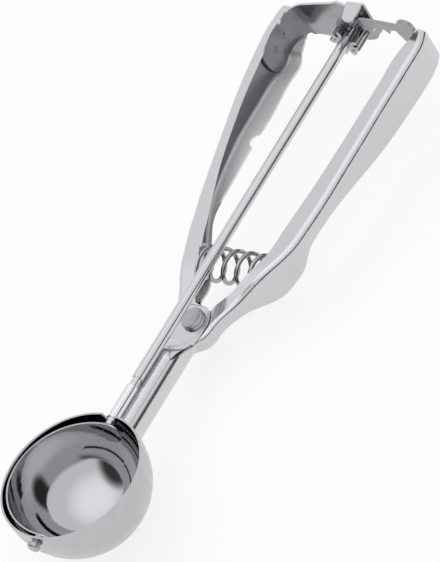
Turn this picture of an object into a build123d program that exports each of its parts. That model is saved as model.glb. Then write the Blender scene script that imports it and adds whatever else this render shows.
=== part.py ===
from build123d import *
import os
from math import acos, atan2, cos, degrees, pi, radians, sin, sqrt, tan

# Lever ice cream scoop, all stainless steel, in millimetres, +Z up.
# Built with +X along the scraper shaft from the bowl to the ends of the handles, +Y towards the
# fixed handle, and the middle of the bowl's sphere at zero. Each piece is moved to the export frame
# at the end: the middle of the tool's footprint, level with the underside of the bowl.

# bowl: a spun hemisphere with a short straight lip
BOWL_R = 25.5
BOWL_WALL = 0.7
LIP_HEIGHT = 3.0
NOTCH_WIDTH = 6.4

# scraper: a bent strip that sweeps the inside of the bowl about the shaft's axis
BLADE_GAP = 0.3
BLADE_END_GAP = 1.6
BLADE_THICK = 0.6
BLADE_WIDTH = 8.0
BLADE_RISE = 0.9
BLADE_TILT = 3.0
RUN_FIT = 0.06

# front pivot pin
PIN_R = 1.5
PIN_NECK = 0.9
PIN_HEAD_R = 2.2
PIN_HEAD_H = 1.5

# shaft and its sleeve
SHAFT_R = 2.0
JOURNAL_R = 1.55
SLEEVE_R = 2.05
SLEEVE_END = 38.8
SHOULDER_X = 42.3

# neck: a round tube pressed as two half shells
SHEET = 0.9
NECK_R = 5.9
NECK_GAP = 0.35
NECK_END = 64.3
NECK_FLARE = 54.0
OPENING_BEND = 3.6
SEAM_ANGLE = 135.0
SEAM_GAP = 0.12

# handle plane: through the pivot, pitched up towards the ends of the handles
PIVOT_X = 74.2
PIVOT_Z = -12.6
PITCH = 5.3

# pivot rivet, ears and washer
RIVET_R = 2.0
HEAD_R = 4.2
HEAD_H = 1.2
WASHER_R = 4.0
WASHER_T = 0.6
FIXED_EAR_R = 5.7
MOVING_EAR_R = 5.2
EAR_GAP = 0.3
MOVING_EAR_H = 3.3
FIXED_EAR_H = MOVING_EAR_H + EAR_GAP + SHEET

# ends of the handles, measured along the handle plane from the pivot
HANDLE_H = 8.5
FIXED_END = 123.8
MOVING_END = 121.0
FIXED_Y = 30.4
CORNER_R = 1.9
HEEL_BEND = 1.2

# relief cut in the fixed handle's lower flange
RELIEF_X = 75.5
RELIEF_Y = 18.4
RELIEF_R = 3.2

# rack and pinion
TEETH = 9
PITCH_R = 5.11
TIP_R = 6.0
ROOT_R = 3.4
PRESSURE = 30.0
BACKLASH = 0.6
RACK_X = 120.1
RACK_T = 1.2
RACK_ADDENDUM = 1.15
RACK_DEDENDUM = 1.15
RACK_TEETH = 7
RACK_RISE = 4.1
RACK_BEND = 1.2
RACK_LEG_FROM = -31.2
RACK_LEG_TO = -32.7
RACK_LEG_END = 104.0
RACK_LEG_H = 5.0
PINION_FRONT = 189.0
PINION_BACK = 197.2

# bridge bracket, spot welded inside the end of the fixed handle
BRIDGE_X = 124.8
BRIDGE_BEND = 9.0
BRIDGE_EDGE = -9.1
BRIDGE_LOW = -9.2
DISC_R = 8.1
DISC_CENTRE = (0.4, -0.4)
LEG_GAP = 0.22
LEG_H = 7.1
LEG_END = 104.0
LEG_END_R = 15.0
WELDS = (110.6, 116.5)
WELD_R = 1.3
WELD_DEPTH = 0.2
TONGUE_GAP = 0.3
TONGUE_REACH = 7.2
TONGUE_EDGE = -8.5

# return spring between the two handles
SPRING_X = 24.4
SPRING_R = 5.45
SPRING_WIRE_R = 0.75
SPRING_FROM = -18.0
SPRING_TO = 14.7
SPRING_COILS = 6.0
SEAT_FIXED = (15.5, 17.9)
SEAT_MOVING = (-20.6, -24.2)
SEAT_R = 4.2
SEAT_REACH = 3.0

HINGE = Plane(
    origin=(PIVOT_X, 0, PIVOT_Z),
    x_dir=(cos(radians(PITCH)), 0, sin(radians(PITCH))),
    z_dir=(-sin(radians(PITCH)), 0, cos(radians(PITCH))),
)


def station(x):
    """Section plane across the handles: its own x is +Y, its own y is up from the handle plane."""
    return Plane(origin=HINGE.from_local_coords((x, 0, 0)), x_dir=(0, 1, 0), z_dir=HINGE.x_dir)


def cross(x):
    """Section plane square to the shaft: its own x is +Y, its own y is +Z."""
    return Plane(origin=(x, 0, 0), x_dir=(0, 1, 0), z_dir=(1, 0, 0))


def side_view():
    """Plane along the handles and square to them: its own x is along the handles, its own y is up."""
    return Plane(origin=HINGE.origin, x_dir=HINGE.x_dir, z_dir=(0, -1, 0))


def fan(angle):
    """Section plane through the pivot axis: its own x points away from the axis at this angle."""
    away = HINGE.x_dir * cos(radians(angle)) + Vector(0, 1, 0) * sin(radians(angle))
    return Plane(origin=HINGE.origin, x_dir=away, z_dir=away.cross(HINGE.z_dir))


def bent_sheet(plane, corners, bend, sheet):
    """Section of bent sheet: a mid line through the corners, rounded at each inner one."""
    knots = [Vector(u, v) for u, v in corners]
    runs = [(b - a).normalized() for a, b in zip(knots, knots[1:])]
    sides = [Vector(-r.Y, r.X) for r in runs]
    left = []
    right = []
    for offset, edges in ((sheet / 2, left), (-sheet / 2, right)):
        start = knots[0] + sides[0] * offset
        for i in range(1, len(knots) - 1):
            turn = runs[i - 1].X * runs[i].Y - runs[i - 1].Y * runs[i].X
            angle = abs(atan2(turn, runs[i - 1].dot(runs[i])))
            reach = bend * tan(angle / 2)
            middle = (sides[i - 1] + sides[i]).normalized()
            way = 1 if turn > 0 else -1
            centre = knots[i] + middle * (way * bend / cos(angle / 2))
            enter = knots[i] - runs[i - 1] * reach + sides[i - 1] * offset
            crest = centre - middle * (way * bend) + middle * offset
            leave = knots[i] + runs[i] * reach + sides[i] * offset
            edges.append(("line", start, enter))
            edges.append(("arc", enter, crest, leave))
            start = leave
        edges.append(("line", start, knots[-1] + sides[-1] * offset))
    outline = list(left)
    outline.append(("line", left[-1][-1], right[-1][-1]))
    outline += [(kind, *reversed(spots)) for kind, *spots in reversed(right)]
    outline.append(("line", right[0][1], left[0][1]))
    curves = []
    for kind, *spots in outline:
        spots = [plane.from_local_coords((s.X, s.Y, 0)) for s in spots]
        curves.append(Line(*spots) if kind == "line" else ThreePointArc(*spots))
    return Face(Wire(curves))


def prism(plane, points, low, high):
    """A straight-sided block over a polygon drawn on the plane, from low to high along its normal."""
    spots = [plane.from_local_coords((u, v, low)) for u, v in points]
    return extrude(Face(Wire.make_polygon(spots)), amount=high - low, dir=plane.z_dir)


def rod(plane, u, v, radius, low, high):
    """A round bar square to the plane, centred on the point (u, v) of it."""
    base = Plane(origin=plane.from_local_coords((u, v, low)), x_dir=plane.x_dir, z_dir=plane.z_dir)
    return extrude(base * Circle(radius), amount=high - low)


# ---------------------------------------------------------------- bowl and scraper


def bowl_body(radius, height):
    """Half sphere with a straight lip, as one solid lump."""
    profile = Polyline((0, 0, -radius), (0, 0, height), (radius, 0, height), (radius, 0, 0))
    halfway = (radius * sin(pi / 4), 0, -radius * cos(pi / 4))
    curve = ThreePointArc((radius, 0, 0), halfway, (0, 0, -radius))
    return revolve(make_face([profile, curve]), axis=Axis.Z)


def bowl():
    shell = bowl_body(BOWL_R, LIP_HEIGHT) - bowl_body(BOWL_R - BOWL_WALL, LIP_HEIGHT)
    hole = JOURNAL_R + RUN_FIT
    shell -= rod(cross(0), 0, 0, hole, BOWL_R - 4, BOWL_R + 2)
    shell -= rod(cross(0), 0, 0, PIN_R + RUN_FIT, -BOWL_R - 2, -BOWL_R + 4)
    top = LIP_HEIGHT + 1
    half = NOTCH_WIDTH / 2
    notch = prism(cross(0), [(-hole, 0), (hole, 0), (half, top), (-half, top)], BOWL_R - 4, BOWL_R + 2)
    return shell - notch


def blade_end():
    """Distance from the middle of the bowl to the scraper's end faces, along the shaft."""
    return BOWL_R - BOWL_WALL - BLADE_GAP - BLADE_END_GAP


def scraper_blade():
    """A strip cut from a spherical zone, drawn in along the shaft so that its ends clear the wall."""
    radius = BOWL_R - BOWL_WALL - BLADE_GAP
    inner = radius - BLADE_THICK
    middle = BLADE_RISE - BLADE_WIDTH / 2
    low = middle - BLADE_WIDTH / 2 - 1
    high = middle + BLADE_WIDTH / 2 + 1
    outside = [(sqrt(radius**2 - z**2), 0, z) for z in (low, middle, high)]
    inside = [(sqrt(inner**2 - z**2), 0, z) for z in (high, middle, low)]
    profile = [
        ThreePointArc(*outside),
        Line(outside[-1], inside[0]),
        ThreePointArc(*inside),
        Line(inside[-1], outside[0]),
    ]
    zone = scale(revolve(make_face(profile), axis=Axis.Z), by=(blade_end() / radius, 1, 1))
    strip = prism(
        cross(0),
        [(0, low + 1), (BOWL_R, low + 1), (BOWL_R, high - 1), (0, high - 1)],
        -BOWL_R,
        BOWL_R,
    )
    strip += rod(cross(0), 0, middle, BLADE_WIDTH / 2, -BOWL_R, BOWL_R)
    return (zone & strip).rotate(Axis.X, BLADE_TILT)


def scraper_shaft():
    shaft = rod(cross(0), 0, 0, JOURNAL_R, blade_end(), SHOULDER_X)
    shaft += rod(cross(0), 0, 0, SHAFT_R, SHOULDER_X, PINION_BACK)
    shaft += rod(cross(0), 0, 0, JOURNAL_R, PINION_BACK, PINION_BACK + 3.4)
    return shaft


def front_pivot_pin():
    outside = BOWL_R + PIN_NECK
    pin = rod(cross(0), 0, 0, PIN_R, -outside, -blade_end())
    head = rod(cross(0), 0, 0, PIN_HEAD_R, -outside - PIN_HEAD_H, -outside)
    head = fillet(head.edges().group_by(Axis.X)[0], 0.8)
    return pin + head


def shaft_sleeve():
    sleeve = rod(cross(0), 0, 0, SLEEVE_R, BOWL_R - 1, SLEEVE_END)
    sleeve -= rod(cross(0), 0, 0, JOURNAL_R + RUN_FIT, BOWL_R - 2, SLEEVE_END + 1)
    return sleeve - bowl_body(BOWL_R, LIP_HEIGHT)


# ---------------------------------------------------------------- neck and fixed handle


def neck_centre():
    return -(SLEEVE_R + NECK_GAP + NECK_R)


def neck_corner(radius, angle):
    return radius * cos(radians(angle)), neck_centre() + radius * sin(radians(angle))


def neck_shell():
    """Lower half of the neck tube, cut on a slant where the other half flattens into its ears."""
    z = neck_centre()
    tube = rod(cross(0), 0, z, NECK_R, BOWL_R * 0.75, NECK_END)
    tube -= rod(cross(0), 0, z, NECK_R - SHEET, 0, NECK_END + 1)
    far = 3 * NECK_R
    seam = [neck_corner(far, SEAM_ANGLE + turn) for turn in (0, 90, 180)]
    tube &= prism(cross(0), seam, 0, NECK_END)
    top = neck_corner(NECK_R, SEAM_ANGLE)[1]
    drop = 5.0
    end = NECK_END + 1
    lid = [(NECK_FLARE, top), (end, top - drop), (end, top + far), (NECK_FLARE, top + far)]
    tube -= prism(Plane.XZ, lid, -far, far)
    return tube - bowl_body(BOWL_R, LIP_HEIGHT)


def half_tube(x):
    """The fixed handle's half of the neck tube, drawn with the same bends as its channel."""
    radius = NECK_R - SHEET / 2
    turn = degrees(SEAM_GAP / radius)
    first = SEAM_ANGLE - turn
    last = SEAM_ANGLE - 180 + turn
    corners = [
        neck_corner(radius, first),
        neck_corner(radius * sqrt(2), SEAM_ANGLE - 45),
        neck_corner(radius * sqrt(2), SEAM_ANGLE - 135),
        neck_corner(radius, last),
    ]
    return bent_sheet(cross(x), corners, radius * 0.97, SHEET)


def channel(x, side, heights, webs, edges, bend=CORNER_R):
    """Section of a handle on one side (+1 or -1) of the shaft.

    Heights, outer faces of the web and flange edges are each given for the top, then the bottom.
    """
    t = SHEET / 2
    top = heights[0] - t
    bottom = t - heights[1]
    corners = [(edges[0], top), (webs[0] - t, top), (webs[1] - t, bottom), (edges[1], bottom)]
    plane = Plane(
        origin=HINGE.from_local_coords((x, 0, 0)),
        x_dir=(0, side, 0),
        z_dir=HINGE.x_dir * side,
    )
    return bent_sheet(plane, corners, bend, SHEET)


def bridge_centre():
    """Centre of the bracket's round bend, in the handle plane."""
    return BRIDGE_X + SHEET - BRIDGE_BEND, FIXED_Y - SHEET - LEG_GAP - BRIDGE_BEND


def fixed_handle():
    """Half of the neck, both fixed ears and the left handle, pressed from one sheet."""
    ears = (FIXED_EAR_H, FIXED_EAR_H)
    middle = NECK_FLARE + 0.58 * (NECK_END - NECK_FLARE)
    opened = [(-4.5, -6.3), (3.6, -3.6), (8.2, -11.4), (4.9, -14.4)]
    flattened = [(-5.0, -8.4), (7.6, -7.6), (8.8, -16.0), (3.6, -16.7)]
    flare = [
        half_tube(NECK_FLARE),
        bent_sheet(cross(middle), opened, OPENING_BEND, SHEET),
        bent_sheet(cross(NECK_END), flattened, CORNER_R, SHEET),
        channel(-5.5, 1, ears, (9.4, 9.4), (-5.0, -3.4)),
    ]
    ear = [
        flare[-1],
        channel(-1.5, 1, ears, (9.6, 9.6), (-FIXED_EAR_R, -FIXED_EAR_R)),
        channel(2.5, 1, ears, (9.9, 9.9), (0.6 - FIXED_EAR_R, 0.6 - FIXED_EAR_R)),
        channel(5.5, 1, ears, (10.4, 10.4), (-3.0, -3.0)),
    ]
    full = (HANDLE_H, HANDLE_H)
    body = [
        ear[-1],
        channel(8.5, 1, (4.7, 4.7), (12.2, 12.2), (4.6, 5.6)),
        channel(14.0, 1, (6.2, 6.2), (14.1, 14.1), (6.8, 9.6)),
        channel(20.0, 1, (7.3, 7.3), (15.9, 15.9), (8.6, 10.8)),
        channel(25.0, 1, (7.4, 7.3), (17.3, 17.4), (10.0, 13.6)),
        channel(30.0, 1, (7.5, 7.0), (18.7, 19.0), (11.6, 16.4)),
        channel(36.0, 1, (7.5, 5.0), (20.1, 20.6), (13.4, 18.1)),
        channel(42.0, 1, (7.6, 2.8), (21.3, 22.0), (15.1, 19.4)),
        channel(49.0, 1, (7.7, 1.5), (22.7, 23.4), (17.2, 19.0)),
        channel(58.0, 1, (7.8, 1.5), (24.3, 24.9), (19.7, 18.6)),
        channel(69.0, 1, (8.0, 2.2), (26.1, 26.5), (21.9, 19.0)),
        channel(80.0, 1, (8.1, 4.1), (27.9, 28.3), (23.7, 19.8)),
        channel(90.0, 1, (8.3, 6.3), (29.2, 29.7), (24.9, 21.1)),
        channel(101.0, 1, (8.4, 7.9), (30.2, 30.3), (25.6, 22.6)),
        channel(bridge_centre()[0] - 1.0, 1, full, (FIXED_Y, FIXED_Y), (26.2, 24.4)),
    ]
    end = [body[-1]]
    for back, web, edges in ((3.9, 29.9, (25.6, 25.4)), (1.3, 29.4, (25.2, 26.2)), (0, 29.0, (24.4, 26.6))):
        end.append(channel(FIXED_END - back, 1, full, (web, web), edges))
    handle = loft([half_tube(BOWL_R * 0.75), flare[0]])
    handle = handle + loft(flare) + loft(ear) + loft(body) + loft(end)
    handle -= bowl_body(BOWL_R, LIP_HEIGHT)
    handle -= rod(HINGE, 0, 0, RIVET_R, -10, 10)
    handle -= rod(HINGE, RELIEF_X, RELIEF_Y, RELIEF_R, -HANDLE_H, 0)
    return handle + spring_seat(SPRING_TO - SEAT_REACH, SEAT_FIXED)


def spring_seat(tip, web):
    """Peg inside a handle that the end coil fits over; its root follows the slanting web."""
    middle = HINGE.from_local_coords((SPRING_X, 0, 0))
    plane = Plane(origin=middle, x_dir=HINGE.x_dir, z_dir=(0, 1, 0))
    near, far = web
    peg = rod(plane, 0, 0, SEAT_R, min(tip, near, far), max(tip, near, far))
    front = SPRING_X - SEAT_R
    back = SPRING_X + SEAT_R
    return peg & prism(HINGE, [(front, tip), (back, tip), (back, far), (front, near)], -SEAT_R, SEAT_R)


# ---------------------------------------------------------------- moving handle


def heel(angle, radius):
    """Section of the moving handle where its web wraps round the pivot."""
    h = MOVING_EAR_H - SHEET / 2
    r = radius - SHEET / 2
    inner = RIVET_R + 1
    return bent_sheet(fan(angle), [(inner, h), (r, h), (r, -h), (inner, -h)], HEEL_BEND, SHEET)


def moving_handle():
    """Right handle: heel round the pivot, deep pocket for the spring, waist and grip."""
    ears = (MOVING_EAR_H, MOVING_EAR_H)
    full = (HANDLE_H, HANDLE_H - 1.2)
    sections = [
        heel(188, 8.6),
        heel(215, 8.2),
        heel(242, 7.9),
        heel(270, 8.0),
        channel(6.0, -1, ears, (10.9, 10.8), (4.0, 4.0), HEEL_BEND),
        channel(12.0, -1, (4.6, 4.7), (15.3, 14.8), (9.2, 8.0)),
        channel(17.0, -1, (6.4, 6.6), (18.9, 19.2), (12.6, 11.0)),
        channel(21.5, -1, (7.4, 7.5), (22.0, 22.0), (15.4, 13.4)),
        channel(27.0, -1, (7.5, 7.5), (25.2, 23.4), (18.0, 15.4)),
        channel(31.5, -1, (7.5, 6.9), (27.2, 24.2), (19.0, 18.0)),
        channel(37.0, -1, (7.5, 3.4), (28.6, 25.2), (19.6, 20.0)),
        channel(43.0, -1, (7.5, 1.7), (29.5, 26.8), (20.6, 21.8)),
        channel(50.0, -1, (7.6, 1.5), (30.4, 28.1), (21.8, 23.0)),
        channel(58.0, -1, (7.7, 2.6), (31.2, 28.9), (23.1, 23.8)),
        channel(67.0, -1, (7.8, 4.3), (31.9, 29.8), (24.2, 24.4)),
        channel(77.0, -1, (7.9, 5.7), (32.7, 31.4), (25.4, 25.2)),
        channel(88.0, -1, (8.1, 6.7), (33.7, 32.8), (26.6, 26.2)),
        channel(100.0, -1, (8.3, 7.1), (35.0, 34.2), (27.9, 27.6)),
        channel(110.0, -1, full, (36.1, 35.2), (28.9, 28.9)),
        channel(116.0, -1, full, (36.4, 35.1), (30.6, 30.4)),
        channel(118.8, -1, full, (35.9, 34.4), (31.4, 30.8)),
        channel(MOVING_END, -1, full, (35.2, 33.6), (31.8, 30.6)),
    ]
    handle = loft(sections)
    for side in (1, -1):
        low, high = sorted((side * (MOVING_EAR_H - SHEET), side * MOVING_EAR_H))
        handle += rod(HINGE, 0, 0, MOVING_EAR_R, low, high)
    handle -= rod(HINGE, 0, 0, RIVET_R + RUN_FIT, -10, 10)
    return handle + spring_seat(SPRING_FROM + SEAT_REACH, SEAT_MOVING)


# ---------------------------------------------------------------- pivot


def pivot_rivet():
    top = FIXED_EAR_H + WASHER_T
    rivet = rod(HINGE, 0, 0, RIVET_R, -FIXED_EAR_H, top)
    head = rod(HINGE, 0, 0, HEAD_R, top, top + HEAD_H)
    head = fillet(head.edges().group_by(Axis((0, 0, 0), tuple(HINGE.z_dir)))[-1], HEAD_H * 0.75)
    foot = rod(HINGE, 0, 0, HEAD_R * 0.8, -FIXED_EAR_H - HEAD_H, -FIXED_EAR_H)
    foot = fillet(foot.edges().group_by(Axis((0, 0, 0), tuple(HINGE.z_dir)))[0], HEAD_H * 0.75)
    return rivet + head + foot


def pivot_washer():
    ring = rod(HINGE, 0, 0, WASHER_R, FIXED_EAR_H, FIXED_EAR_H + WASHER_T)
    return ring - rod(HINGE, 0, 0, RIVET_R, 0, 10)


# ---------------------------------------------------------------- rack, pinion and bridge


def involute(radius):
    """Angle by which an involute flank has turned when it reaches this radius."""
    base = PITCH_R * cos(radians(PRESSURE))
    slope = acos(min(1.0, base / radius))
    return tan(slope) - slope


def pinion():
    base = PITCH_R * cos(radians(PRESSURE))
    half_tooth = (2 * pi * PITCH_R / TEETH - BACKLASH) / (4 * PITCH_R)
    radii = [base, base + 0.5 * (TIP_R - base), TIP_R]
    plane = cross(PINION_FRONT)
    curves = []
    for i in range(TEETH):
        centre = pi / 2 + 2 * pi * i / TEETH
        rise = []
        fall = []
        for r in radii:
            turn = half_tooth + involute(PITCH_R) - involute(r)
            rise.append((r * cos(centre - turn), r * sin(centre - turn)))
            fall.append((r * cos(centre + turn), r * sin(centre + turn)))
        foot = half_tooth + involute(PITCH_R)
        first = (ROOT_R * cos(centre - foot), ROOT_R * sin(centre - foot))
        last = (ROOT_R * cos(centre + foot), ROOT_R * sin(centre + foot))
        follow = centre + 2 * pi / TEETH - foot
        curves.append(Line(first, rise[0]))
        curves.append(ThreePointArc(*rise))
        curves.append(Line(rise[-1], fall[-1]))
        curves.append(ThreePointArc(*reversed(fall)))
        curves.append(Line(fall[0], last))
        curves.append(Line(last, (ROOT_R * cos(follow), ROOT_R * sin(follow))))
    wheel = extrude(plane * make_face(curves), amount=PINION_BACK - PINION_FRONT)
    return wheel - rod(cross(0), 0, 0, SHAFT_R, PINION_FRONT - 1, PINION_BACK + 1)


def pitch_line():
    """Height of the rack's pitch line above the handle plane, where the rack crosses the pinion."""
    reach = (RACK_X - (0 - PIVOT_Z) * sin(radians(PITCH))) / cos(radians(PITCH))
    axis = -PIVOT_Z * cos(radians(PITCH)) - reach * sin(radians(PITCH))
    return axis + PITCH_R / cos(radians(PITCH))


def rack():
    """Toothed bar with a rounded ear and a leg bent forward into the moving handle."""
    pitch = 2 * pi * PITCH_R / TEETH
    line = pitch_line()
    tip = line - RACK_ADDENDUM
    root = line + RACK_DEDENDUM
    flank = tan(radians(PRESSURE))
    half_tip = pitch / 4 - RACK_ADDENDUM * flank
    half_root = pitch / 4 + RACK_DEDENDUM * flank
    outline = [(pitch, root + RACK_RISE), (pitch, root)]
    for i in range(RACK_TEETH):
        middle = pitch / 2 - i * pitch
        for y, z in ((half_root, root), (half_tip, tip), (-half_tip, tip), (-half_root, root)):
            outline.append((middle + y, z))
    outline += [(-23.2, root), (-24.6, 1.6), (-26.4, -5.6), (-40, -5.6), (-40, 7.2)]
    outline += [(-30.9, 7.2), (-30.9, 8.8), (-31.7, 8.8), (-31.7, 11.4)]
    outline += [(-30.9, 13.2), (-28.8, 14.0), (-26.7, 13.2), (-25.4, 10.4), (-13.0, root + RACK_RISE)]
    path = [(RACK_X, pitch + 1), (RACK_X, RACK_LEG_FROM), (RACK_LEG_END - 2, RACK_LEG_TO)]
    section = bent_sheet(HINGE, path, RACK_BEND, RACK_T)
    bar = extrude(section, amount=20, both=True, dir=HINGE.z_dir)
    face = prism(station(0), outline, RACK_X - 3, RACK_X + 3)
    side = side_view()
    near = RACK_LEG_END + RACK_LEG_H
    far = RACK_X - 2.9
    h = RACK_LEG_H
    leg = rod(side, near, 0, h, 28, 40)
    leg += prism(side, [(near, -h), (far, -h), (far, h), (near, h)], 28, 40)
    return bar & (face + leg)


def tongue_top():
    """Upper face of the bracket's tongue, which roofs the rack."""
    return pitch_line() + RACK_DEDENDUM + RACK_RISE + TONGUE_GAP + SHEET


def bridge_strip():
    """The bracket's bend, as wide as the sheet it is cut from: a leg, a round corner, a plate."""
    mid = BRIDGE_X + SHEET / 2
    leg = FIXED_Y - SHEET - LEG_GAP - SHEET / 2
    path = [(LEG_END - 5, leg), (mid, leg), (mid, BRIDGE_EDGE - 5)]
    section = bent_sheet(HINGE, path, BRIDGE_BEND - SHEET / 2, SHEET)
    return extrude(section, amount=20, both=True, dir=HINGE.z_dir)


def bridge_blank():
    """Outline of the bracket's plate, with a relief beside the tongue and a round lower corner."""
    top = tongue_top()
    y, z = DISC_CENTRE
    enter = FIXED_Y - 6.4
    outline = [
        (enter + 16, LEG_H),
        (26.0, LEG_H),
        (20.0, 8.5),
        (12.6, 10.1),
        (6.2, 11.3),
        (4.0, 12.2),
        (2.4, 12.9),
        (1.2, 12.2),
        (0.4, 11.2),
        (-1.0, 11.2),
        (-1.9, top),
        (BRIDGE_EDGE, top),
        (y - DISC_R, z),
        (y, z),
        (y, z - DISC_R),
        (enter - 8, BRIDGE_LOW),
        (enter - 0.5, BRIDGE_LOW + 0.8),
        (enter, -LEG_H),
        (enter + 16, -LEG_H),
    ]
    low = BRIDGE_X - BRIDGE_BEND - 5
    high = BRIDGE_X + 5
    return prism(station(0), outline, low, high) + rod(station(0), y, z, DISC_R, low, high)


def bridge_bracket():
    """Sheet bridge: a leg inside the fixed handle, a round bend, a bored plate, a roof tongue."""
    side = side_view()
    centre = LEG_END + LEG_END_R
    start = centre - sqrt(LEG_END_R**2 - LEG_H**2)
    band = prism(side, [(0, -LEG_H), (centre, -LEG_H), (centre, LEG_H), (0, LEG_H)], -40, -20)
    leg = prism(side, [(start, -LEG_H), (centre, -LEG_H), (centre, LEG_H), (start, LEG_H)], -40, -20)
    leg += rod(side, centre, 0, LEG_END_R, -40, -20) & band
    bracket = bridge_strip() & (bridge_blank() + leg)
    tip = BRIDGE_X - TONGUE_REACH
    tongue = [
        (BRIDGE_X + SHEET, TONGUE_EDGE),
        (tip + 0.7, TONGUE_EDGE),
        (tip, TONGUE_EDGE + 1.6),
        (tip + 0.1, TONGUE_EDGE + 3.4),
        (tip + 1.1, TONGUE_EDGE + 5.0),
        (tip + 5.1, TONGUE_EDGE + 6.1),
        (BRIDGE_X + SHEET, TONGUE_EDGE + 6.1),
    ]
    bracket += prism(HINGE, tongue, tongue_top() - SHEET, tongue_top())
    bracket -= rod(cross(0), 0, 0, JOURNAL_R + RUN_FIT, PINION_BACK - 2, PINION_BACK + 10)
    inside = FIXED_Y - 2 * SHEET - LEG_GAP
    for x in WELDS:
        bracket -= rod(side, x, 0.8, WELD_R, -inside - WELD_DEPTH, -20)
    return bracket


# ---------------------------------------------------------------- return spring


def return_spring():
    length = SPRING_TO - SPRING_FROM
    coil = Helix(pitch=length / SPRING_COILS, height=length, radius=SPRING_R)
    profile = Plane(origin=coil @ 0, z_dir=coil % 0) * Circle(SPRING_WIRE_R)
    wire = sweep(profile, path=coil)
    foot = HINGE.from_local_coords((SPRING_X, SPRING_FROM, 0))
    seat = Plane(origin=foot, x_dir=HINGE.z_dir, z_dir=(0, 1, 0))
    return seat.location * wire


pieces = {
    "bowl": bowl(),
    "scraper_blade": scraper_blade(),
    "scraper_shaft": scraper_shaft(),
    "front_pivot_pin": front_pivot_pin(),
    "shaft_sleeve": shaft_sleeve(),
    "neck_shell": neck_shell(),
    "fixed_handle": fixed_handle(),
    "moving_handle": moving_handle(),
    "pivot_rivet": pivot_rivet(),
    "pivot_washer": pivot_washer(),
    "pinion": pinion(),
    "rack": rack(),
    "bridge_bracket": bridge_bracket(),
    "return_spring": return_spring(),
}

boxes = [piece.bounding_box() for piece in pieces.values()]
middle_x = (min(b.min.X for b in boxes) + max(b.max.X for b in boxes)) / 2
middle_y = (min(b.min.Y for b in boxes) + max(b.max.Y for b in boxes)) / 2
to_frame = Pos(-middle_x, -middle_y, BOWL_R)

os.makedirs("parts", exist_ok=True)
for name, piece in pieces.items():
    export_step(to_frame * piece, f"parts/{name}.step")
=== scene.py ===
from math import cos, pi, radians, sin, sqrt

import bpy
import numpy as np
from mathutils import Matrix, Vector


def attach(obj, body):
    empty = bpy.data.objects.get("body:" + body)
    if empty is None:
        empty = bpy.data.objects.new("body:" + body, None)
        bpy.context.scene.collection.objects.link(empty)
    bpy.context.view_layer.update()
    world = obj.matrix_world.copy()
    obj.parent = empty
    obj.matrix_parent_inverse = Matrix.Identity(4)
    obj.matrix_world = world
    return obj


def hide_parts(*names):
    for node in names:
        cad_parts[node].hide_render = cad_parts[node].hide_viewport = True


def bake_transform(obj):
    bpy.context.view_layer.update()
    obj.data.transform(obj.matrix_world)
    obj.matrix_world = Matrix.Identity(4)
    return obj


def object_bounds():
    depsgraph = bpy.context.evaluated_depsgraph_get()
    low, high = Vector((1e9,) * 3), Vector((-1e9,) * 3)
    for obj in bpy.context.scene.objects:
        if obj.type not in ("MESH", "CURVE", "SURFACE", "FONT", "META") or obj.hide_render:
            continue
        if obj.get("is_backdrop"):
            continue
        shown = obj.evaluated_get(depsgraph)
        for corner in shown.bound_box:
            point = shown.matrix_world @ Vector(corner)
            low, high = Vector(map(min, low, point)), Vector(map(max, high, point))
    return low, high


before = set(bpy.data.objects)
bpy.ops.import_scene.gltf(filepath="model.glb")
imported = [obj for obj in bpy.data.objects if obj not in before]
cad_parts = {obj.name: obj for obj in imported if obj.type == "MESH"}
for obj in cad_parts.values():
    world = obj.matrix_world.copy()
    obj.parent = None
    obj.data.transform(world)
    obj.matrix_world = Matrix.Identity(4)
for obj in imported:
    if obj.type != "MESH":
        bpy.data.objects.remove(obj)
cad_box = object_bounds()
size = [list(cad_box[0]), list(cad_box[1])]

# the CAD's working frame (bowl centre at zero, +X along the shaft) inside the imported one
SHIFT = Vector((-0.08635, 0.0026602, 0.0255))

# the handle plane: the pivot, along the handles, and up from them
PIVOT = Vector((0.0742, 0, -0.0126)) + SHIFT
PITCH = radians(5.3)
ALONG = Vector((cos(PITCH), 0, sin(PITCH)))
UPWARD = Vector((-sin(PITCH), 0, cos(PITCH)))

# millimetres in a metre
MM = 1000

# the steel's faintly blue cast, over its red and green
COOL = 0.015


def on_handle(x, y, z):
    """A point of the handle plane's axes, given in millimetres."""
    return tuple(PIVOT + (ALONG * x + Vector((0, y, 0)) + UPWARD * z) / MM)


# ---------------------------------------------------------------- camera

# the photograph's frame, its focal length and the bowl's middle in it, in pixels
WIDTH, HEIGHT = 440.0, 562.0
FOCAL = 4700.0
BOWL_PIXEL = (74.5, 480.7)

# pixels per millimetre at the bowl
SCALE = 3.08

# the photograph's right and up in the CAD's axes, for a bowl in the middle of the frame; the
# camera takes the nearest square pair
RIGHT = (0.487, -0.752, -0.444)
UP = (0.789, 0.160, 0.594)

SENSOR = 36.0


def make_camera():
    """A long lens looking down on the bowl's mouth, with the handles running up and away."""
    rows = np.vstack([RIGHT, UP, np.cross(RIGHT, UP)])
    u, _, v = np.linalg.svd(rows)
    rows = u @ v
    x, y = BOWL_PIXEL
    to_bowl = Vector(((x - WIDTH / 2) / FOCAL, (HEIGHT / 2 - y) / FOCAL, -1.0))
    turn = Vector((0, 0, -1)).rotation_difference(to_bowl.normalized()).to_matrix()
    view = np.array(turn) @ rows
    offset = np.array(to_bowl) * FOCAL / SCALE / MM
    place = Matrix.Translation(Vector(-view.T @ offset) + SHIFT)
    data = bpy.data.cameras.new("camera")
    data.sensor_width = SENSOR
    data.lens = FOCAL / HEIGHT * SENSOR
    data.clip_start = 0.1
    data.clip_end = 20.0
    camera = bpy.data.objects.new("camera", data)
    camera.matrix_world = place @ Matrix(view.T.tolist()).to_4x4()
    bpy.context.scene.collection.objects.link(camera)
    bpy.context.scene.camera = camera


make_camera()


# ---------------------------------------------------------------- materials

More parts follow.
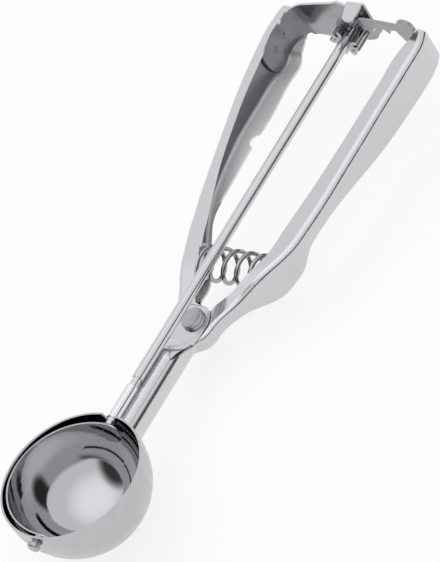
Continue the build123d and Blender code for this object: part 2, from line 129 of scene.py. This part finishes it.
# how a steel's tone and roughness drift over the surface, as shares of their own value
TONE_DRIFT = 0.96
ROUGH_DRIFT = (0.75, 1.3)
CLOUD_SCALE = 70.0

# heights of the bumps, in metres
WAVE_HEIGHT = 0.001
GRAIN_HEIGHT = 0.00002


def nodes_of(name):
    """A new material, its node tree and its shader."""
    material = bpy.data.materials.new(name)
    material.use_nodes = True
    tree = material.node_tree
    return material, tree, tree.nodes["Principled BSDF"]


def add(tree, kind, **values):
    """A new node with the given properties."""
    node = tree.nodes.new(kind)
    for key, value in values.items():
        setattr(node, key, value)
    return node


def cool(level):
    """A grey with steel's faintly blue cast, as a colour with alpha."""
    return (level, level, level + COOL, 1)


def ramp(tree, value, low, high):
    """A colour that goes from low to high as the value goes from 0 to 1."""
    node = add(tree, "ShaderNodeValToRGB")
    node.color_ramp.elements[0].color = low
    node.color_ramp.elements[1].color = high
    tree.links.new(value, node.inputs["Fac"])
    return node.outputs["Color"]


def noise(tree, scale, stretch=(1, 1, 1), detail=3.0):
    """Noise over the object's own coordinates."""
    place = add(tree, "ShaderNodeTexCoord")
    mapping = add(tree, "ShaderNodeMapping")
    mapping.inputs["Scale"].default_value = stretch
    texture = add(tree, "ShaderNodeTexNoise")
    texture.inputs["Scale"].default_value = scale
    texture.inputs["Detail"].default_value = detail
    tree.links.new(place.outputs["Object"], mapping.inputs["Vector"])
    tree.links.new(mapping.outputs["Vector"], texture.inputs["Vector"])
    return texture.outputs["Fac"]


def spread(tree, value, low, high, start=0.3, stop=0.7):
    """The value taken from start..stop to low..high."""
    node = add(tree, "ShaderNodeMapRange")
    node.inputs["From Min"].default_value = start
    node.inputs["From Max"].default_value = stop
    node.inputs["To Min"].default_value = low
    node.inputs["To Max"].default_value = high
    tree.links.new(value, node.inputs["Value"])
    return node.outputs["Result"]


def roughen(tree, height, strength, distance, normal=None):
    """The normal with bumps of this height laid over it."""
    bump = add(tree, "ShaderNodeBump")
    bump.inputs["Strength"].default_value = strength
    bump.inputs["Distance"].default_value = distance
    tree.links.new(height, bump.inputs["Height"])
    if normal:
        tree.links.new(normal, bump.inputs["Normal"])
    return bump.outputs["Normal"]


def steel(name, tone, rough, wave=None, grain=0.0, grain_scale=900.0, stretch=(1, 1, 1)):
    """Stainless steel: its tone and polish drift a little, under soft waves and fine grain.

    wave is the strength and the scale of the waves.
    """
    material, tree, shader = nodes_of(name)
    shader.inputs["Metallic"].default_value = 1.0
    fine = noise(tree, grain_scale, stretch, 2.0)
    dark = (*[c * TONE_DRIFT for c in tone[:3]], 1)
    tree.links.new(ramp(tree, noise(tree, CLOUD_SCALE), dark, tone), shader.inputs["Base Color"])
    low, high = ROUGH_DRIFT
    tree.links.new(spread(tree, fine, rough * low, rough * high), shader.inputs["Roughness"])
    normal = None
    if wave:
        strength, scale = wave
        normal = roughen(tree, noise(tree, scale), strength, WAVE_HEIGHT)
    if grain:
        normal = roughen(tree, fine, grain, GRAIN_HEIGHT, normal)
    if normal:
        tree.links.new(normal, shader.inputs["Normal"])
    return material


STEEL = (0.65, 0.65, 0.667, 1)
TURNING = (6, 1, 1)
PRESSED = steel("pressed_steel", STEEL, 0.15, wave=(0.07, 45.0), grain=0.06)
GRIP = steel("grip_steel", cool(0.62), 0.13, wave=(0.07, 40.0), grain=0.06)
SATIN = steel("satin_steel", cool(0.54), 0.27, wave=(0.05, 26.0), grain_scale=240.0)
MIRROR = steel("mirror_steel", cool(0.52), 0.06, wave=(0.7, 14.0))
# painted shade: a darker copy of sheet steel for the rack's and the bracket's faces that do not
# look up
SHADED_SHEET = steel("shaded_sheet_steel", cool(0.34), 0.22, wave=(0.06, 50.0), grain_scale=300.0)
# painted shade: a dark copy of sheet steel for the bracket's leg, which sits in the shade inside
# the handle
LEG_SHADE = steel("painted_leg_shade", cool(0.22), 0.30, wave=(0.06, 60.0), grain_scale=300.0)
TURNED = steel("turned_steel", STEEL, 0.13, grain=0.25, grain_scale=700.0, stretch=TURNING)
CUT = steel("cut_steel", cool(0.44), 0.16, wave=(0.05, 90.0), grain=0.3)
RIVET = steel("rivet_steel", cool(0.44), 0.30, wave=(0.05, 90.0), grain_scale=300.0)
TUBE = steel("tube_steel", cool(0.80), 0.16, grain=0.15, grain_scale=500.0, stretch=TURNING)
SPRING = steel("spring_wire", cool(0.40), 0.12, grain=0.2)

FINISH = {
    "bowl": SATIN,
    "scraper_blade": MIRROR,
    "scraper_shaft": TURNED,
    "front_pivot_pin": RIVET,
    "shaft_sleeve": TUBE,
    "neck_shell": PRESSED,
    "fixed_handle": PRESSED,
    "moving_handle": GRIP,
    "pivot_rivet": RIVET,
    "pivot_washer": TURNED,
    "pinion": CUT,
    # the rack and the bracket start in the painted-shade copy; their upper faces get painted light
    # below
    "rack": SHADED_SHEET,
    "bridge_bracket": SHADED_SHEET,
    "return_spring": SPRING,
}


def dress():
    """Gives every CAD node its one main finish."""
    for node, material in FINISH.items():
        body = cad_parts[node]
        body.data.materials.clear()
        body.data.materials.append(material)
        for face in body.data.polygons:
            face.material_index = 0


# a face of the bowl that looks back at its middle within 60 degrees is an inner one
INWARD = -0.5


def polish_bowl():
    """The bowl is satin outside and polished inside."""
    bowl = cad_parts["bowl"]
    bowl.data.materials.append(MIRROR)
    place = bowl.matrix_world
    for face in bowl.data.polygons:
        out = place @ face.center - SHIFT
        normal = place.to_3x3() @ face.normal
        if out.z > 0:
            out.z = 0
        if normal.dot(out) < INWARD * out.length * normal.length:
            face.material_index = 1


def in_handle(vector):
    """A vector in the handle plane's own axes."""
    return vector.dot(ALONG), vector.y, vector.dot(UPWARD)


def hinge_point(node, face):
    """Middle of a face in the handle plane's own axes, in millimetres, and its normal in them."""
    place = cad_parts[node].matrix_world
    spot = (place @ face.center - PIVOT) * MM
    facing = (place.to_3x3() @ face.normal).normalized()
    return in_handle(spot), in_handle(facing)


# sockets of a Mix node: its share, and its inputs and output for numbers and for colours
MIX_SHARE = 0
NUMBER_A, NUMBER_B, NUMBER_OUT = 2, 3, 0
COLOUR_A, COLOUR_B, COLOUR_OUT = 6, 7, 2

INSIDE_SCALE = 60.0


def shaded_inside_steel():
    """Painted shade and light inside the fixed handle: dark where the sheet stands, pale where it
    faces up.
    """
    material, tree, shader = nodes_of("shaded_inside_steel")
    place = add(tree, "ShaderNodeTexCoord")
    dot = add(tree, "ShaderNodeVectorMath", operation="DOT_PRODUCT")
    dot.inputs[1].default_value = UPWARD
    tree.links.new(place.outputs["Normal"], dot.inputs[0])
    flat = spread(tree, dot.outputs["Value"], 0.0, 1.0, 0.25, 0.9)
    cloud = noise(tree, INSIDE_SCALE)
    mix = add(tree, "ShaderNodeMix", data_type="RGBA")
    tree.links.new(flat, mix.inputs[MIX_SHARE])
    # painted shade where the sheet stands, painted light where it faces up
    tree.links.new(ramp(tree, cloud, cool(0.20), cool(0.24)), mix.inputs[COLOUR_A])
    tree.links.new(ramp(tree, cloud, cool(0.80), cool(0.87)), mix.inputs[COLOUR_B])
    tree.links.new(mix.outputs[COLOUR_OUT], shader.inputs["Base Color"])
    tree.links.new(spread(tree, flat, 1.0, 0.2, 0.0, 1.0), shader.inputs["Metallic"])
    tree.links.new(spread(tree, flat, 0.26, 0.45, 0.0, 1.0), shader.inputs["Roughness"])
    return material


SHADED_INSIDE = shaded_inside_steel()


def add_finish(node, choose, *materials):
    """Gives a CAD node more finishes; choose(spot, facing) picks one by its place, or 0."""
    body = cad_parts[node]
    for material in materials:
        body.data.materials.append(material)
    for face in body.data.polygons:
        spot, facing = hinge_point(node, face)
        face.material_index = choose(spot, facing)


# in millimetres: the outer face of the fixed handle's web along the handle plane, how deep its
# inner face may lie under it, where the ears end, and how far out the bracket's leg begins
WEB_X = (8, 36, 69, 90, 124)
WEB_Y = (12.2, 20.3, 26.3, 29.5, 29.5)
WEB_DEPTH = 3.5
EARS_END = 12
LEG_Y = 21


def fixed_finish(spot, facing):
    """The channel's inner faces along the grip, which take the painted shade and light."""
    x, y, z = spot
    web = y > np.interp(x, WEB_X, WEB_Y) - WEB_DEPTH and facing[1] < -0.1
    flange = facing[2] > 0.3 and z < 0
    return 1 if x > EARS_END and (web or flange) else 0


def bracket_finish(spot, facing):
    """Painted shade on the leg inside the handle, and painted light on the upper faces of tongue
    and plate.
    """
    if facing[1] < -0.35 and spot[1] > LEG_Y:
        return 1
    return 2 if facing[2] > 0.5 else 0


dress()
polish_bowl()
# painted shade and light on the fixed handle's inner faces; painted shade on the bracket's leg and
# painted light on its upper faces
add_finish("fixed_handle", fixed_finish, SHADED_INSIDE)
add_finish("bridge_bracket", bracket_finish, LEG_SHADE, PRESSED)


# ---------------------------------------------------------------- spring

# in metres of the handle plane's axes; each end turn lies round the peg inside a handle
SPRING_X = 0.0244
SPRING_R = 0.00565
WIRE_R = 0.0008
SPRING_FROM = -0.0180
SPRING_TO = 0.0147
OPEN_TURNS = 5.0
CLOSED_TURNS = 0.75
CLOSED_PITCH = 2.2 * WIRE_R

# points along each turn of the wire, and round it
STEPS = 56
RING = 14


def spring_line():
    """Points of the wire's middle: open turns between closed ends."""
    turns = OPEN_TURNS + 2 * CLOSED_TURNS
    low = SPRING_FROM + WIRE_R
    high = SPRING_TO - WIRE_R
    closed = CLOSED_PITCH * CLOSED_TURNS
    for i in range(int(turns * STEPS) + 1):
        turn = i / STEPS
        if turn < CLOSED_TURNS:
            y = low + closed * (turn / CLOSED_TURNS) ** 2
        elif turn > turns - CLOSED_TURNS:
            y = high - closed * ((turns - turn) / CLOSED_TURNS) ** 2
        else:
            share = (turn - CLOSED_TURNS) / OPEN_TURNS
            y = low + closed + share * (high - low - 2 * closed)
        angle = 2 * pi * turn
        across = ALONG * (SPRING_X + SPRING_R * cos(angle)) + UPWARD * SPRING_R * sin(angle)
        yield PIVOT + across + Vector((0, y, 0))


def make_spring():
    """A round wire along spring_line, in place of the CAD spring."""
    line = list(spring_line())
    spots = []
    faces = []
    for i, middle in enumerate(line):
        run = (line[min(i + 1, len(line) - 1)] - line[max(i - 1, 0)]).normalized()
        side = run.cross(Vector((0, 1, 0))).normalized()
        up = side.cross(run)
        for j in range(RING):
            turn = 2 * pi * j / RING
            spots.append(middle + side * WIRE_R * cos(turn) + up * WIRE_R * sin(turn))
        if i:
            for j in range(RING):
                a = (i - 1) * RING + j
                b = (i - 1) * RING + (j + 1) % RING
                faces.append((a, a + RING, b + RING, b))
    last = len(spots) - RING
    faces.append(tuple(range(RING)))
    faces.append(tuple(range(last + RING - 1, last - 1, -1)))
    mesh = bpy.data.meshes.new("coil_spring")
    mesh.from_pydata([tuple(p) for p in spots], [], faces)
    mesh.shade_smooth()
    mesh.materials.append(SPRING)
    coil = bpy.data.objects.new("coil_spring", mesh)
    bpy.context.scene.collection.objects.link(coil)
    bpy.context.view_layer.update()
    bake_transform(coil)
    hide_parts("return_spring")


make_spring()


# ---------------------------------------------------------------- rack

# in millimetres of the handle plane's axes, as in the CAD rack, except for the teeth: each flank
# is cut back by 0.06 and the row is moved by TOOTH_SHIFT, because the joints' ratio of 23.8 turns
# the pinion a little too far for this rack (23.5) and the CAD's own teeth touch it
RACK_X = 120.1
RACK_HALF = 0.6
TOOTH_PITCH = 3.5675
TOOTH_TIP = 5.49
TOOTH_ROOT = 7.79
TIP_HALF = 0.17
ROOT_HALF = 1.49
TOOTH_SHIFT = 0.08
RACK_TEETH = 7
RACK_TOP = 11.9

# the ear's round top: its middle, half width and height
EAR_Y, EAR_Z = -28.6, 11.2
EAR_HALF = 3.2
EAR_RISE = 2.8

# the leg: its bend, its edges there, its slight lean, and its round end
LEG_BEND = 1.2
BEND_Y = -30.0
BEND_TOP = 7.2
BEND_BOTTOM = -5.6
BEND_TURN = radians(86)
LEG_LEAN = 0.08
LEG_END = 104.0
LEG_HALF = 5.0
LEG_STATIONS = (114, 109, 107.4, 106, 105, 104.4, 104.05)

# steps in the ear's arc and in the leg's bend, and the width of the bevel, in metres
ARC = 8
BEVEL = 0.00012


def rack_outline():
    """The toothed bar with its rounded ear; it steps down to pass under the handle's flange."""
    spots = [(TOOTH_PITCH, RACK_TOP), (TOOTH_PITCH, TOOTH_ROOT)]
    for i in range(RACK_TEETH):
        middle = TOOTH_PITCH / 2 - i * TOOTH_PITCH + TOOTH_SHIFT
        spots += [(middle + ROOT_HALF, TOOTH_ROOT), (middle + TIP_HALF, TOOTH_TIP)]
        spots += [(middle - TIP_HALF, TOOTH_TIP), (middle - ROOT_HALF, TOOTH_ROOT)]
    spots += [(-23.2, TOOTH_ROOT), (-24.6, 1.6), (-26.4, BEND_BOTTOM), (BEND_Y, BEND_BOTTOM)]
    spots += [(BEND_Y, BEND_TOP), (-31.0, 8.9), (-31.8, 8.9), (-31.8, EAR_Z)]
    for i in range(ARC):
        turn = pi * i / ARC
        spots.append((EAR_Y - EAR_HALF * cos(turn), EAR_Z + EAR_RISE * sin(turn)))
    return spots + [(-25.4, 10.6), (-13.0, RACK_TOP)]


def add_slab(spots, faces, rings):
    """Joins rings of points into a closed strip; each ring goes once round it."""
    first = len(spots)
    count = len(rings[0])
    for ring in rings:
        spots += ring
    for i in range(len(rings) - 1):
        for j in range(count):
            a = first + i * count + j
            b = first + i * count + (j + 1) % count
            faces.append((a, b, b + count, a + count))
    faces.append(tuple(first + j for j in reversed(range(count))))
    faces.append(tuple(first + (len(rings) - 1) * count + j for j in range(count)))


def leg_line():
    """Stations of the leg: its turn, how far it has run back, its upper and lower edge."""
    line = []
    for i in range(ARC + 1):
        share = i / ARC
        top = BEND_TOP + share * (LEG_HALF - BEND_TOP)
        bottom = BEND_BOTTOM - share * (LEG_HALF + BEND_BOTTOM)
        line.append((BEND_TURN * share, 0.0, top, bottom))
    for x in LEG_STATIONS:
        inside = max(LEG_END + LEG_HALF - x, 0)
        high = sqrt(LEG_HALF**2 - inside**2)
        line.append((BEND_TURN, RACK_X - x, high, -high))
    return line


def leg_rings():
    """The leg's section at each station, as four corners."""
    for turn, back, top, bottom in leg_line():
        run = max(back - LEG_BEND, 0)
        ring = []
        for side, z in ((-1, bottom), (1, bottom), (1, top), (-1, top)):
            reach = LEG_BEND + side * RACK_HALF
            x = RACK_X - LEG_BEND + reach * cos(turn) - run
            y = BEND_Y - reach * sin(turn) - LEG_LEAN * run
            ring.append(on_handle(x, y, z))
        yield ring


def make_rack():
    """The toothed bar and its leg, with painted light on their upper faces and painted shade on
    the rest.
    """
    spots = []
    faces = []
    outline = rack_outline()
    sides = (RACK_X - RACK_HALF, RACK_X + RACK_HALF)
    add_slab(spots, faces, [[on_handle(x, y, z) for y, z in outline] for x in sides])
    add_slab(spots, faces, list(leg_rings()))
    mesh = bpy.data.meshes.new("toothed_rack")
    mesh.from_pydata(spots, [], faces)
    mesh.materials.append(SHADED_SHEET)
    mesh.materials.append(PRESSED)
    mesh.validate()
    for face in mesh.polygons:
        # painted light: faces that look up get the bright pressed steel, the others the
        # painted-shade copy
        face.material_index = 1 if face.normal.dot(UPWARD) > 0.4 else 0
    bar = bpy.data.objects.new("toothed_rack", mesh)
    bpy.context.scene.collection.objects.link(bar)
    bevel = bar.modifiers.new("edges", "BEVEL")
    bevel.width = BEVEL
    bevel.segments = 2
    bevel.limit_method = "ANGLE"
    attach(bar, "lever")
    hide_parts("rack")


make_rack()


# ---------------------------------------------------------------- studio


def panel(name, place, target, width, height, power):
    """A soft lamp facing the target."""
    light = bpy.data.lights.new(name, "AREA")
    light.shape = "RECTANGLE"
    light.size = width
    light.size_y = height
    light.energy = power
    lamp = bpy.data.objects.new(name, light)
    lamp.location = place
    lamp.rotation_euler = (Vector(target) - Vector(place)).to_track_quat("-Z", "Y").to_euler()
    lamp.visible_glossy = False
    bpy.context.scene.collection.objects.link(lamp)


# half the floor's side, how far it lies under the scoop, and how much of it glows where it is seen
FLOOR_HALF = 3.0
FLOOR_GAP = 0.0003
FLOOR_GLOW = 0.82


def make_floor():
    """A pale floor that looks almost white and keeps the scoop's shadow."""
    mesh = bpy.data.meshes.new("floor")
    s = FLOOR_HALF
    mesh.from_pydata([(-s, -s, 0), (s, -s, 0), (s, s, 0), (-s, s, 0)], [], [(0, 1, 2, 3)])
    floor = bpy.data.objects.new("floor", mesh)
    floor.location = (0, 0, -FLOOR_GAP)
    bpy.context.scene.collection.objects.link(floor)
    floor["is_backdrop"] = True
    material, tree, shader = nodes_of("floor_white")
    shader.inputs["Base Color"].default_value = (0.88, 0.88, 0.88, 1)
    shader.inputs["Roughness"].default_value = 0.9
    shader.inputs["Specular IOR Level"].default_value = 0.1
    glow = add(tree, "ShaderNodeEmission")
    glow.inputs["Strength"].default_value = 1.0
    seen = seen_rays(tree)
    share = add(tree, "ShaderNodeMath", operation="MULTIPLY")
    share.inputs[1].default_value = FLOOR_GLOW
    tree.links.new(seen, share.inputs[0])
    mix = add(tree, "ShaderNodeMixShader")
    tree.links.new(share.outputs[0], mix.inputs[0])
    tree.links.new(shader.outputs[0], mix.inputs[1])
    tree.links.new(glow.outputs[0], mix.inputs[2])
    tree.links.new(mix.outputs[0], tree.nodes["Material Output"].inputs["Surface"])
    mesh.materials.append(material)


def seen_rays(tree):
    """1 for what the camera sees, directly or in metal."""
    path = add(tree, "ShaderNodeLightPath")
    either = add(tree, "ShaderNodeMath", operation="MAXIMUM")
    tree.links.new(path.outputs["Is Camera Ray"], either.inputs[0])
    tree.links.new(path.outputs["Is Glossy Ray"], either.inputs[1])
    return either.outputs[0]


def toward(tree, direction, away, near):
    """1 inside a soft-edged round patch of the studio's walls, 0 outside; angles in degrees."""
    coord = add(tree, "ShaderNodeTexCoord")
    dot = add(tree, "ShaderNodeVectorMath", operation="DOT_PRODUCT")
    dot.inputs[1].default_value = Vector(direction).normalized()
    tree.links.new(coord.outputs["Generated"], dot.inputs[0])
    node = add(tree, "ShaderNodeMapRange", interpolation_type="SMOOTHSTEP")
    node.inputs["From Min"].default_value = cos(radians(away))
    node.inputs["From Max"].default_value = cos(radians(near))
    tree.links.new(dot.outputs["Value"], node.inputs["Value"])
    return node.outputs["Result"]


def blended(tree, base, patch, level):
    """The base brightness with the patch painted over it at its own level."""
    mix = add(tree, "ShaderNodeMix", data_type="FLOAT")
    tree.links.new(patch, mix.inputs[MIX_SHARE])
    if isinstance(base, float):
        mix.inputs[NUMBER_A].default_value = base
    else:
        tree.links.new(base, mix.inputs[NUMBER_A])
    mix.inputs[NUMBER_B].default_value = level
    return mix.outputs[NUMBER_OUT]


# brightness of the studio's walls, its ceiling, and the dark patches that the steel reflects
WALLS = 0.94
CEILING = 1.38
DARK_WALL = 0.06
DARK_STRIP = 0.08

# each patch's direction, and the angles from it where the patch ends and where it is full
OVERHEAD = ((-0.15, 0.0, 0.99), 48, 4)
PAST_BOWL = ((-0.82, 0.40, 0.40), 36, 18)
LOW_DOWN = ((0, 0, -1), 116, 103)
IN_FRONT = ((0.3, -0.95, 0), 95, 70)


def make_world():
    """A pale studio with a bright ceiling; it is dark past the bowl, and low down at the front.

    The camera itself sees plain white, while the steel reflects the studio.
    """
    world = bpy.data.worlds.new("studio")
    bpy.context.scene.world = world
    world.use_nodes = True
    tree = world.node_tree
    shade = tree.nodes["Background"]
    shade.inputs["Color"].default_value = (0.985, 0.99, 1.0, 1)
    level = blended(tree, WALLS, toward(tree, *OVERHEAD), CEILING)
    level = blended(tree, level, toward(tree, *PAST_BOWL), DARK_WALL)
    low = toward(tree, *LOW_DOWN)
    front = toward(tree, *IN_FRONT)
    strip = add(tree, "ShaderNodeMath", operation="MULTIPLY")
    tree.links.new(low, strip.inputs[0])
    tree.links.new(front, strip.inputs[1])
    level = blended(tree, level, strip.outputs[0], DARK_STRIP)
    path = add(tree, "ShaderNodeLightPath")
    level = blended(tree, level, path.outputs["Is Camera Ray"], 1.0)
    tree.links.new(level, shade.inputs["Strength"])


make_floor()
make_world()
panel("key", place=(0.35, 0.45, 0.9), target=(0, 0, 0), width=0.5, height=0.5, power=1.5)

bpy.context.scene.view_settings.view_transform = "Standard"

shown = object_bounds()
size += [list(shown[0]), list(shown[1])]
